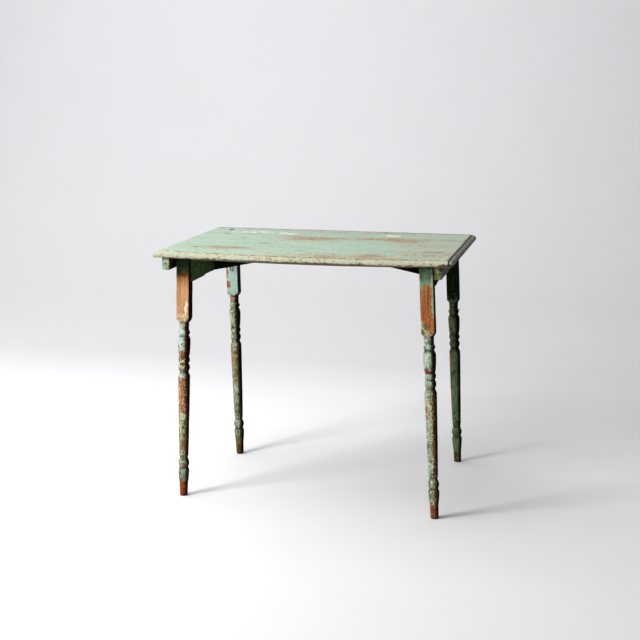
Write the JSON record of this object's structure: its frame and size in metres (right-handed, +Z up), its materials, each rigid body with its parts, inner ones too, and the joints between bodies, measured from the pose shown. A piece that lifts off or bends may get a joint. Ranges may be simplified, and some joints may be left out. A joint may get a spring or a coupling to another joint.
{
  "type": "folding table",
  "caption": "Small painted wooden table with a boarded top and two turned leg frames that fold in under it, each held by a diagonal wooden brace.",
  "frame": {"origin": "on the floor under the middle of the tabletop", "axes": "+X along the tabletop to the right, +Y across it to the back, +Z up from the floor"},
  "size_m": [0.82, 0.598, 0.711],
  "materials": {
    "painted_top": "worn mint green paint on softwood boards",
    "painted_cleat": "worn green paint on softwood",
    "painted_leg": "turned softwood, green paint worn through to bare brown wood",
    "painted_rail": "worn dark green paint on softwood",
    "painted_brace": "worn dark green paint on softwood",
    "iron_hinge": "aged dark iron",
    "iron_bracket": "aged dark iron",
    "iron_screw": "aged dark iron",
    "iron_staple": "rusty wire"
  },
  "bodies": {
    "table_top": {"top_board_1": "painted_top", "top_board_2": "painted_top", "top_board_3": "painted_top", "top_board_4": "painted_top", "left_cleat": "painted_cleat", "right_cleat": "painted_cleat", "cleat_screws": "iron_screw", "top_hinge_screws": "iron_screw", "left_hinge_front_top_leaf": "iron_hinge", "left_hinge_back_top_leaf": "iron_hinge", "right_hinge_front_top_leaf": "iron_hinge", "right_hinge_back_top_leaf": "iron_hinge"},
    "left_leg_frame": {"left_leg_front": "painted_leg", "left_leg_back": "painted_leg", "left_rail": "painted_rail", "left_hinge_screws": "iron_screw", "left_bracket_screws": "iron_screw", "left_hinge_front_rail_leaf": "iron_hinge", "left_hinge_front_pin": "iron_hinge", "left_pivot_bracket_front": "iron_bracket", "left_hinge_back_rail_leaf": "iron_hinge", "left_hinge_back_pin": "iron_hinge", "left_pivot_bracket_back": "iron_bracket", "left_pivot_pin": "iron_bracket", "left_leg_staple": "iron_staple"},
    "right_leg_frame": {"right_leg_front": "painted_leg", "right_leg_back": "painted_leg", "right_rail": "painted_rail", "right_hinge_screws": "iron_screw", "right_bracket_screws": "iron_screw", "right_hinge_front_rail_leaf": "iron_hinge", "right_hinge_front_pin": "iron_hinge", "right_pivot_bracket_front": "iron_bracket", "right_hinge_back_rail_leaf": "iron_hinge", "right_hinge_back_pin": "iron_hinge", "right_pivot_bracket_back": "iron_bracket", "right_pivot_pin": "iron_bracket"},
    "left_brace": {"left_brace": "painted_brace"},
    "right_brace": {"right_brace": "painted_brace"}
  },
  "joints": [
    {"name": "left_leg_fold", "type": "hinge", "parent": "table_top", "child": "left_leg_frame", "pos_m": [-0.3185, 0, 0.689], "axis": [0, -1, 0], "range_deg": [0, 81]},
    {"name": "right_leg_fold", "type": "hinge", "parent": "table_top", "child": "right_leg_frame", "pos_m": [0.3185, 0, 0.689], "axis": [0, 1, 0], "range_deg": [0, 89]},
    {"name": "left_brace_swing", "type": "hinge", "parent": "left_leg_frame", "child": "left_brace", "pos_m": [-0.3325, 0, 0.63], "axis": [0, 1, 0], "range_deg": [0, 91.74]},
    {"name": "right_brace_swing", "type": "hinge", "parent": "right_leg_frame", "child": "right_brace", "pos_m": [0.33526, 0, 0.63072], "axis": [0, -1, 0], "range_deg": [0, 100.16]}
  ],
  "couplings": [
    {"joint": "left_brace_swing", "follows": "left_leg_fold", "ratio": 1.1289},
    {"joint": "right_brace_swing", "follows": "right_leg_fold", "ratio": 1.1221}
  ]
}
